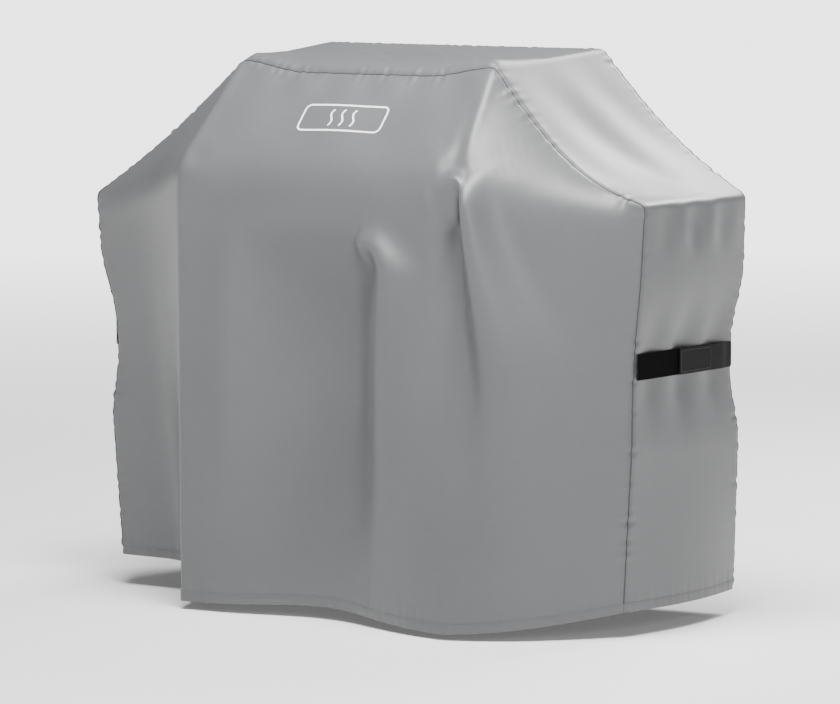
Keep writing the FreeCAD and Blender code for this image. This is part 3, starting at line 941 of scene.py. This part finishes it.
def strap_webbing(name, side):
    """The webbing lies over its hook patch and comes down to the cloth at its root."""
    drop = WEB_LOW.x - PATCH_HIGH.x
    start, end = TAPE_HIGH.y + WEB_STEP, WEB_HIGH.y - WEB_FLAT
    path = [(PATCH_HIGH.x + drop * ease(start, end, y), y) for y in np.linspace(WEB_LOW.y, WEB_HIGH.y, 70)]
    return ribbon(name, side, path, WEB_LOW, WEB_HIGH, WEB_THICK)


def patch_thread(name, side):
    """A square of stitches that holds the hook patch under the webbing."""
    x = side * (PATCH_HIGH.x + WEB_THICK + PATCH_THREAD_LIFT)
    y0, y1 = PATCH_LOW.y + PATCH_MARGIN, PATCH_HIGH.y - PATCH_MARGIN
    z0, z1 = PATCH_LOW.z + PATCH_MARGIN, PATCH_HIGH.z - PATCH_MARGIN
    square = resample([(x, y0, z0), (x, y1, z0), (x, y1, z1), (x, y0, z1), (x, y0, z0)], 220)
    lift = np.tile(np.array([side, 0.0, 0.0]), (len(square), 1))
    return thread_object(name, stitches_along(square, lift), THREAD_R)


def bar_tack(name, side, low, high):
    """Two zigzags of thread across a strap's root."""
    x = side * (high.x - TACK_INSET)
    near, far = low.y + TACK_INSET, high.y - TACK_INSET
    steps = 2 * TACK_TURNS
    paths = []
    for shift in TACK_ROWS:
        foot, top = low.z + TACK_FOOT + shift, high.z - TACK_TOP + shift
        paths.append([(x, near if i % 2 else far, foot + (top - foot) * i / steps) for i in range(steps + 1)])
    return thread_object(name, paths, TACK_THREAD_R)


def build_straps():
    pieces = {}
    for side, word in SIDE_NAME.items():
        placed = {
            "loop_tape": (flat_ribbon(word + "_loop_strip", side, TAPE_LOW, TAPE_HIGH, 90), word + "_loop"),
            "strap_webbing": (strap_webbing(word + "_webbing_strip", side), word + "_webbing"),
            "hook_patch": (flat_ribbon(word + "_hook_strip", side, PATCH_LOW, PATCH_HIGH, 40),
                           word + "_webbing"),
            "patch_stitching": (patch_thread(word + "_patch_thread", side), word + "_webbing"),
        }
        for node, (obj, body) in placed.items():
            apply_modifiers(obj)
            pieces[word + "_" + node] = stand_for(obj, word + "_" + node, body)
        for node, low, high in (("front_bar_tack", FRONT_TACK_LOW, FRONT_TACK_HIGH),
                                ("rear_bar_tack", REAR_TACK_LOW, REAR_TACK_HIGH)):
            name = word + "_" + node
            pieces[name] = stand_for(bar_tack(name + "_thread", side, low, high), name)
    return pieces


# ---- materials

CLOTH_TONE, CLOTH_ROUGHNESS, CLOTH_SHEEN = (0.102, 0.104, 0.107), 0.41, 0.02
THREAD_TONE = (0.120, 0.123, 0.128)
# The seam thread is near black: partly the thread's own colour, partly painted shade of the crease along each
# seam.
SEAM_THREAD_AND_SHADE_TONE = (0.030, 0.030, 0.032)
BLACK_THREAD_TONE = (0.018, 0.018, 0.018)
WEBBING_TONE = (0.0060, 0.0060, 0.0063)
LOOP_TONE, LOOP_FINENESS = (0.0030, 0.0030, 0.0031), 1500.0
HOOK_TONE, HOOK_FINENESS = (0.0060, 0.0060, 0.0060), 1100.0
PRINT_TONE = (0.95, 0.95, 0.95)
THREAD_SCALE, SLUB_SCALE = 620.0, 30.0  # of the weave, across a thread and along it


class Nodes:
    """A small helper that adds and joins shader nodes."""

    def __init__(self, name):
        self.material = bpy.data.materials.new(name)
        self.material.use_nodes = True
        self.tree = self.material.node_tree
        self.shader = self.tree.nodes["Principled BSDF"]
        self.place = self.add("ShaderNodeTexCoord").outputs["Object"]

    def add(self, kind, inputs=(), **settings):
        node = self.tree.nodes.new(kind)
        for key, value in settings.items():
            setattr(node, key, value)
        for key, value in dict(inputs).items():
            if isinstance(value, bpy.types.NodeSocket):
                self.tree.links.new(value, node.inputs[key])
            else:
                node.inputs[key].default_value = value
        return node

    def math(self, operation, a, b):
        return self.add("ShaderNodeMath", {0: a, 1: b}, operation=operation).outputs[0]

    def stretched(self, vector, scale):
        node = self.add("ShaderNodeVectorMath", {0: vector, 1: scale}, operation="MULTIPLY")
        return node.outputs[0]

    def noise(self, vector, scale, detail=2.0, roughness=0.5):
        node = self.add("ShaderNodeTexNoise",
                        {"Vector": vector, "Scale": scale, "Detail": detail, "Roughness": roughness})
        return node.outputs["Fac"]

    def ramp(self, fac, low, high, from_low=0.0, from_high=1.0):
        node = self.add("ShaderNodeMix", data_type="RGBA")
        spread = self.add("ShaderNodeMapRange", {"Value": fac, "From Min": from_low, "From Max": from_high})
        self.tree.links.new(spread.outputs[0], node.inputs["Factor"])
        node.inputs["A"].default_value = (*low, 1.0)
        node.inputs["B"].default_value = (*high, 1.0)
        return node.outputs["Result"]

    def bump(self, height, strength, distance, normal=None):
        inputs = {"Height": height, "Strength": strength, "Distance": distance}
        if normal is not None:
            inputs["Normal"] = normal
        return self.add("ShaderNodeBump", inputs).outputs[0]

    def set(self, **values):
        for key, value in values.items():
            socket = self.shader.inputs[key.replace("_", " ")]
            if isinstance(value, bpy.types.NodeSocket):
                self.tree.links.new(value, socket)
            else:
                socket.default_value = value
        return self.material


def shaded(tone, factor):
    return tuple(c * factor for c in tone)


def cloth_material(name, tone, roughness, sheen):
    """Coated woven polyester: fine threads both ways, slubs, a soft satin shine and slight wear."""
    n = Nodes(name)
    weave = n.add("ShaderNodeUVMap", uv_map="cut").outputs[0]
    weft = n.noise(n.stretched(weave, (SLUB_SCALE, THREAD_SCALE, 1.0)), 1.0, 3.0, 0.6)
    warp = n.noise(n.stretched(weave, (THREAD_SCALE, SLUB_SCALE, 1.0)), 1.0, 3.0, 0.6)
    threads = n.math("ADD", weft, n.math("MULTIPLY", warp, 0.6))
    broad = n.noise(n.place, 5.0, 3.0)
    shade = n.math("ADD", n.math("MULTIPLY", threads, 0.45), n.math("MULTIPLY", broad, 0.35))
    colour = n.ramp(shade, shaded(tone, 0.90), shaded(tone, 1.10), 0.28, 0.78)
    dents = n.bump(n.noise(n.place, 17.0, 2.0), 0.10, 0.004)
    soft = n.bump(n.noise(n.place, 60.0, 2.0), 0.10, 0.0012, dents)
    normal = n.bump(threads, 0.16, 0.0006, soft)
    rough = n.add("ShaderNodeMapRange",
                  {"Value": broad, "To Min": roughness - 0.05, "To Max": roughness + 0.06})
    return n.set(Base_Color=colour, Roughness=rough.outputs[0], Normal=normal, Sheen_Weight=sheen,
                 Sheen_Roughness=0.4)


def webbing_material(name, tone):
    """Flat woven webbing: ribs along the strap and a fine cross weave."""
    n = Nodes(name)
    ribs = n.add("ShaderNodeTexWave", {"Vector": n.place, "Scale": 110.0, "Distortion": 0.4},
                 bands_direction="Z").outputs["Fac"]
    cross = n.add("ShaderNodeTexWave", {"Vector": n.place, "Scale": 260.0, "Distortion": 0.6},
                  bands_direction="Y").outputs["Fac"]
    height = n.math("ADD", ribs, n.math("MULTIPLY", cross, 0.6))
    wear = n.noise(n.place, 90.0, 3.0)
    colour = n.ramp(n.math("ADD", n.math("MULTIPLY", height, 0.35), n.math("MULTIPLY", wear, 0.5)),
                    shaded(tone, 0.75), shaded(tone, 1.3), 0.2, 0.9)
    return n.set(Base_Color=colour, Roughness=0.75, Normal=n.bump(height, 0.4, 0.0006), Sheen_Weight=0.02,
                 Specular_IOR_Level=0.12)


def fuzz_material(name, tone, fineness):
    """Loop or hook tape: a dense field of tiny soft bumps that takes almost no shine."""
    n = Nodes(name)
    fuzz = n.noise(n.place, fineness, 4.0, 0.7)
    tufts = n.noise(n.place, fineness * 0.35, 2.0)
    height = n.math("ADD", fuzz, n.math("MULTIPLY", tufts, 0.8))
    colour = n.ramp(height, shaded(tone, 0.5), shaded(tone, 1.8), 0.5, 1.3)
    return n.set(Base_Color=colour, Roughness=0.95, Normal=n.bump(height, 0.9, 0.0015), Sheen_Weight=0.0,
                 Specular_IOR_Level=0.04)


def thread_material(name, tone):
    n = Nodes(name)
    twist = n.noise(n.place, 900.0, 2.0)
    colour = n.ramp(twist, shaded(tone, 0.7), shaded(tone, 1.2), 0.3, 0.7)
    return n.set(Base_Color=colour, Roughness=0.55, Normal=n.bump(twist, 0.3, 0.0002), Sheen_Weight=0.2)


def print_material(name, tone):
    """White screen print that lets a little of the weave through."""
    n = Nodes(name)
    cover = n.noise(n.place, 420.0, 3.0, 0.7)
    colour = n.ramp(cover, shaded(tone, 0.86), tone, 0.30, 0.55)
    return n.set(Base_Color=colour, Roughness=0.6, Normal=n.bump(cover, 0.15, 0.0003))


def paint(pieces, emblem):
    cloth = cloth_material("grey_polyester", CLOTH_TONE, CLOTH_ROUGHNESS, CLOTH_SHEEN)
    thread = thread_material("grey_thread", THREAD_TONE)
    # near-black seam thread: partly thread colour, partly painted shade of the seam crease
    seam_thread = thread_material("seam_thread", SEAM_THREAD_AND_SHADE_TONE)
    webbing = webbing_material("strap_webbing", WEBBING_TONE)
    loops = fuzz_material("loop_tape", LOOP_TONE, LOOP_FINENESS)
    hooks = fuzz_material("hook_tape", HOOK_TONE, HOOK_FINENESS)
    black_thread = thread_material("black_thread", BLACK_THREAD_TONE)
    plan = {"hem_stitching": (thread, "thread"), "strap_webbing": (webbing, "strap_webbing"),
            "loop_tape": (loops, "loop_tape"), "hook_patch": (hooks, "hook_tape"),
            "patch_stitching": (black_thread, "thread"), "bar_tack": (black_thread, "thread"),
            "seam_stitching": (seam_thread, "thread")}
    for name, obj in pieces.items():
        material, slot = cloth, "cover_cloth"
        for ending, choice in plan.items():
            if name.endswith(ending):
                material, slot = choice
        obj.data.materials.clear()
        obj.data.materials.append(material)
    emblem.data.materials.clear()
    emblem.data.materials.append(print_material("white_print", PRINT_TONE))


# ---- stage, lights and camera

FLOOR_Z = -0.030
STAGE_HALF = 90.0
GLOW_NEAR, GLOW_FAR = (1.5, 0.15), (9.0, 3.2)  # distance and strength
WORLD_STRENGTH = 0.05
LIGHTS = {  # place, target, size, power
    "key": ((0.5, -0.9, 3.3), (0.1, -0.1, 0.9), 1.7, 290.0),
    "back_top": ((0.4, 2.8, 3.0), (0.3, 0.1, 0.9), 1.8, 200.0),
    "front_fill": ((4.8, -3.6, 2.4), (0.0, 0.0, 0.6), 1.8, 80.0),
}


def stage_material():
    n = Nodes("pale_floor")
    colour = n.ramp(n.noise(n.place, 1.5), (0.86, 0.86, 0.86), (0.89, 0.89, 0.89))
    away = n.add("ShaderNodeVectorMath", {0: n.place}, operation="LENGTH").outputs["Value"]
    glow = n.add("ShaderNodeMapRange", {"Value": away, "From Min": GLOW_NEAR[0], "From Max": GLOW_FAR[0],
                                        "To Min": GLOW_NEAR[1], "To Max": GLOW_FAR[1]})
    return n.set(Base_Color=colour, Roughness=0.8, Emission_Color=(1.0, 1.0, 1.0, 1.0),
                 Emission_Strength=glow.outputs[0])


def build_stage():
    """A wide pale floor that grows brighter with distance, so it fills the view behind the cover."""
    corners = [(-STAGE_HALF, -STAGE_HALF, FLOOR_Z), (STAGE_HALF, -STAGE_HALF, FLOOR_Z),
               (STAGE_HALF, STAGE_HALF, FLOOR_Z), (-STAGE_HALF, STAGE_HALF, FLOOR_Z)]
    floor = link_mesh("floor", corners, [(0, 1, 2, 3)])
    floor.data.materials.append(stage_material())


def area_light(name, place, target, size, power):
    data = bpy.data.lights.new(name, "AREA")
    data.shape = "SQUARE"
    data.size = size
    data.energy = power
    lamp = link(name, data)
    lamp.location = place
    lamp.rotation_euler = (Vector(target) - Vector(place)).to_track_quat("-Z", "Y").to_euler()


def build_lights():
    world = bpy.data.worlds.new("studio")
    world.use_nodes = True
    background = world.node_tree.nodes["Background"]
    background.inputs[0].default_value = (1.0, 1.0, 1.0, 1.0)
    background.inputs[1].default_value = WORLD_STRENGTH
    bpy.context.scene.world = world
    for name, (place, target, size, power) in LIGHTS.items():
        area_light(name, place, target, size, power)


VIEW_YAW = math.radians(35.2)
VIEW_PITCH = math.radians(5.6)
VIEW_PLACE = (5.73, -8.03, 1.44)
LENS = 215.5


def build_camera():
    data = bpy.data.cameras.new("camera")
    data.sensor_width = 36.0
    data.lens = LENS
    data.clip_end = 300.0
    camera = link("camera", data)
    camera.location = VIEW_PLACE
    camera.rotation_euler = (math.pi / 2 - VIEW_PITCH, 0.0, VIEW_YAW)
    bpy.context.scene.camera = camera


# ---- build


def main():
    cover_pieces = build_cover()
    emblem = printed_emblem(cover_pieces["front_panel"])
    pieces = {**cover_pieces, **build_straps()}
    paint(pieces, emblem)
    build_stage()
    build_lights()
    build_camera()


main()
